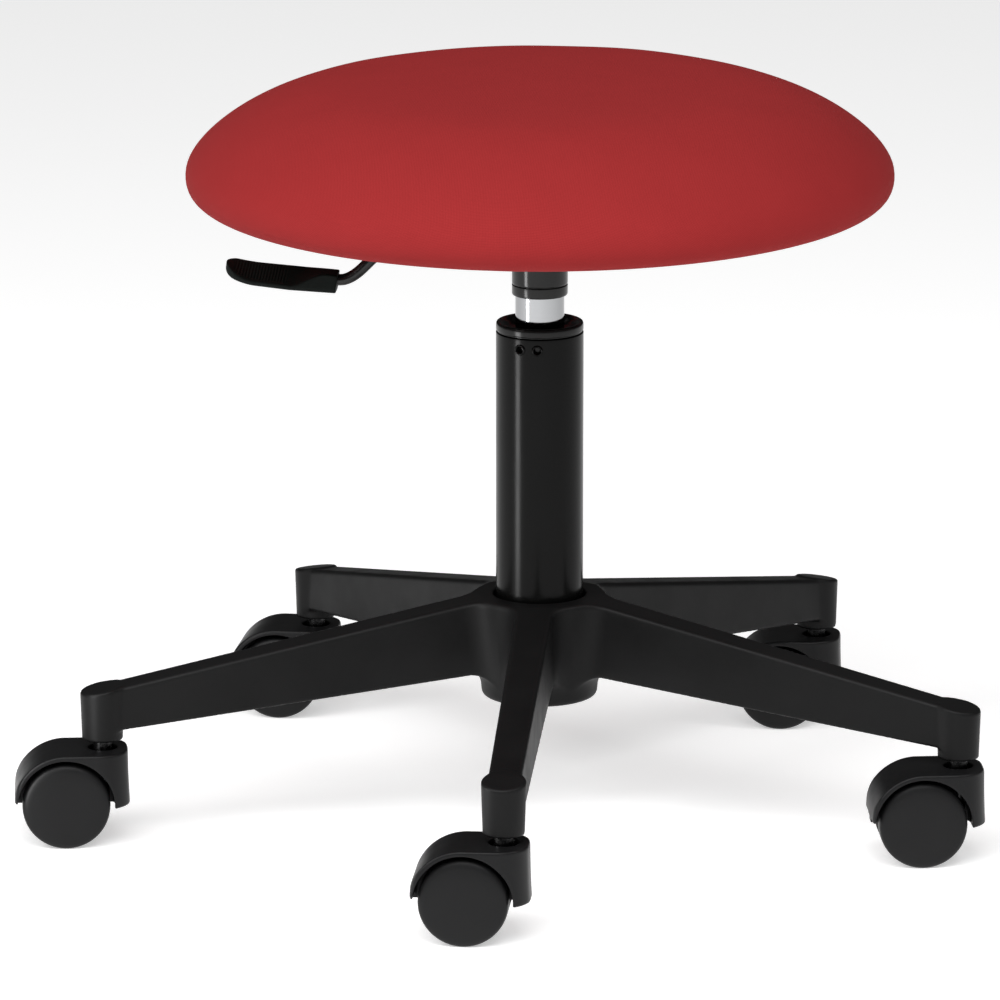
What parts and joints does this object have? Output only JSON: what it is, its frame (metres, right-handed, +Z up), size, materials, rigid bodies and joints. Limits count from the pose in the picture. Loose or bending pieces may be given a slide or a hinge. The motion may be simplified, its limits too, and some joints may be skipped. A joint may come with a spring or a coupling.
{
  "type": "swivel stool",
  "caption": "Round upholstered swivel stool with a gas-lift column, a side height lever and a five-star base on twin-wheel casters.",
  "frame": {"origin": "on the floor, under the column's axis", "axes": "+Z up along the column, -Y along the front base arm, -X towards the height lever"},
  "size_m": [0.5536, 0.5078, 0.4278],
  "materials": {
    "base_plastic": "matte",
    "wheel_plastic": "matte",
    "column_paint": "satin",
    "socket_paint": "gloss",
    "cap_plastic": "gloss",
    "lever_plastic": "satin",
    "chrome": "polished",
    "steel": "satin",
    "alloy": "satin",
    "bumper_rubber": "matte",
    "plywood": "satin",
    "foam": "matte",
    "seat_fabric": "matte",
    "dust_cloth": "matte"
  },
  "bodies": {
    "base": {"five_star_base": "base_plastic", "column_tube": "column_paint", "guide_bush": "cap_plastic", "bearing_lower_race": "steel"},
    "bearing_balls": {"ball_cage": "steel"},
    "spindle": {"bearing_upper_race": "steel", "piston_rod": "steel", "piston": "alloy", "rubber_bumper": "bumper_rubber", "spacer_washer": "steel", "retaining_clip": "steel"},
    "seat": {"gas_cylinder": "chrome", "rod_guide_seal": "bumper_rubber", "valve_body": "alloy", "taper_socket": "socket_paint", "seat_plate": "socket_paint", "lever_pivot_pin": "steel", "seat_board": "plywood", "under_cover": "dust_cloth", "foam_cushion": "foam", "seat_cover": "seat_fabric", "seat_bolt_1": "steel", "seat_bolt_2": "steel", "seat_bolt_3": "steel", "seat_bolt_4": "steel", "tee_nut_1": "steel", "tee_nut_2": "steel", "tee_nut_3": "steel", "tee_nut_4": "steel"},
    "lever": {"lever_rod": "column_paint", "lever_handle": "lever_plastic"},
    "valve_pin": {"release_pin": "steel"},
    "caster_1": {"caster_1_hood": "base_plastic", "caster_1_stem": "steel", "caster_1_axle": "steel"},
    "caster_1_left_wheel": {"caster_1_wheel_a": "wheel_plastic"},
    "caster_1_right_wheel": {"caster_1_wheel_b": "wheel_plastic"},
    "caster_2": {"caster_2_hood": "base_plastic", "caster_2_stem": "steel", "caster_2_axle": "steel"},
    "caster_2_left_wheel": {"caster_2_wheel_a": "wheel_plastic"},
    "caster_2_right_wheel": {"caster_2_wheel_b": "wheel_plastic"},
    "caster_3": {"caster_3_hood": "base_plastic", "caster_3_stem": "steel", "caster_3_axle": "steel"},
    "caster_3_left_wheel": {"caster_3_wheel_a": "wheel_plastic"},
    "caster_3_right_wheel": {"caster_3_wheel_b": "wheel_plastic"},
    "caster_4": {"caster_4_hood": "base_plastic", "caster_4_stem": "steel", "caster_4_axle": "steel"},
    "caster_4_left_wheel": {"caster_4_wheel_a": "wheel_plastic"},
    "caster_4_right_wheel": {"caster_4_wheel_b": "wheel_plastic"},
    "caster_5": {"caster_5_hood": "base_plastic", "caster_5_stem": "steel", "caster_5_axle": "steel"},
    "caster_5_left_wheel": {"caster_5_wheel_a": "wheel_plastic"},
    "caster_5_right_wheel": {"caster_5_wheel_b": "wheel_plastic"}
  },
  "joints": [
    {"name": "seat_swivel", "type": "hinge", "parent": "base", "child": "spindle", "pos_m": [0, 0, 0.081], "axis": [0, 0, 1], "continuous": true},
    {"name": "bearing_roll", "type": "hinge", "parent": "base", "child": "bearing_balls", "pos_m": [0, 0, 0.0778], "axis": [0, 0, 1], "continuous": true},
    {"name": "seat_lift", "type": "slide", "parent": "spindle", "child": "seat", "axis": [0, 0, 1], "range_m": [0, 0.13]},
    {"name": "lever_lift", "type": "hinge", "parent": "seat", "child": "lever", "pos_m": [-0.022, 0, 0.3395], "axis": [0, 1, 0], "range_deg": [0, 6], "stiffness_Nm_per_rad": 2, "springref_deg": -8.59},
    {"name": "valve_press", "type": "slide", "parent": "seat", "child": "valve_pin", "axis": [0, 0, -1], "range_m": [0, 0.0028]},
    {"name": "caster_1_swivel", "type": "hinge", "parent": "base", "child": "caster_1", "pos_m": [0, -0.2556, 0.07], "axis": [0, 0, 1], "continuous": true},
    {"name": "caster_1_left_roll", "type": "hinge", "parent": "caster_1", "child": "caster_1_left_wheel", "pos_m": [-0.021, -0.25549, 0.025], "axis": [-0.0052, -1, 0], "continuous": true},
    {"name": "caster_1_right_roll", "type": "hinge", "parent": "caster_1", "child": "caster_1_right_wheel", "pos_m": [-0.021, -0.25549, 0.025], "axis": [-0.0052, -1, 0], "continuous": true},
    {"name": "caster_2_swivel", "type": "hinge", "parent": "base", "child": "caster_2", "pos_m": [0.24309, -0.07898, 0.07], "axis": [0, 0, 1], "continuous": true},
    {"name": "caster_2_left_roll", "type": "hinge", "parent": "caster_2", "child": "caster_2_left_wheel", "pos_m": [0.22231, -0.08202, 0.025], "axis": [0.1444, -0.9895, 0], "continuous": true},
    {"name": "caster_2_right_roll", "type": "hinge", "parent": "caster_2", "child": "caster_2_right_wheel", "pos_m": [0.22231, -0.08202, 0.025], "axis": [0.1444, -0.9895, 0], "continuous": true},
    {"name": "caster_3_swivel", "type": "hinge", "parent": "base", "child": "caster_3", "pos_m": [0.15024, 0.20678, 0.07], "axis": [0, 0, 1], "continuous": true},
    {"name": "caster_3_left_roll", "type": "hinge", "parent": "caster_3", "child": "caster_3_left_wheel", "pos_m": [0.12924, 0.20678, 0.025], "axis": [0, -1, 0], "continuous": true},
    {"name": "caster_3_right_roll", "type": "hinge", "parent": "caster_3", "child": "caster_3_right_wheel", "pos_m": [0.12924, 0.20678, 0.025], "axis": [0, -1, 0], "continuous": true},
    {"name": "caster_4_swivel", "type": "hinge", "parent": "base", "child": "caster_4", "pos_m": [-0.15024, 0.20678, 0.07], "axis": [0, 0, 1], "continuous": true},
    {"name": "caster_4_left_roll", "type": "hinge", "parent": "caster_4", "child": "caster_4_left_wheel", "pos_m": [-0.17121, 0.20792, 0.025], "axis": [-0.0541, -0.9985, 0], "continuous": true},
    {"name": "caster_4_right_roll", "type": "hinge", "parent": "caster_4", "child": "caster_4_right_wheel", "pos_m": [-0.17121, 0.20792, 0.025], "axis": [-0.0541, -0.9985, 0], "continuous": true},
    {"name": "caster_5_swivel", "type": "hinge", "parent": "base", "child": "caster_5", "pos_m": [-0.24309, -0.07898, 0.07], "axis": [0, 0, 1], "continuous": true},
    {"name": "caster_5_left_roll", "type": "hinge", "parent": "caster_5", "child": "caster_5_left_wheel", "pos_m": [-0.2639, -0.0818, 0.025], "axis": [0.134, -0.991, 0], "continuous": true},
    {"name": "caster_5_right_roll", "type": "hinge", "parent": "caster_5", "child": "caster_5_right_wheel", "pos_m": [-0.2639, -0.0818, 0.025], "axis": [0.134, -0.991, 0], "continuous": true}
  ],
  "couplings": [
    {"joint": "bearing_roll", "follows": "seat_swivel", "ratio": 0.5},
    {"joint": "valve_press", "follows": "lever_lift", "m_per_rad": 0.0255}
  ]
}
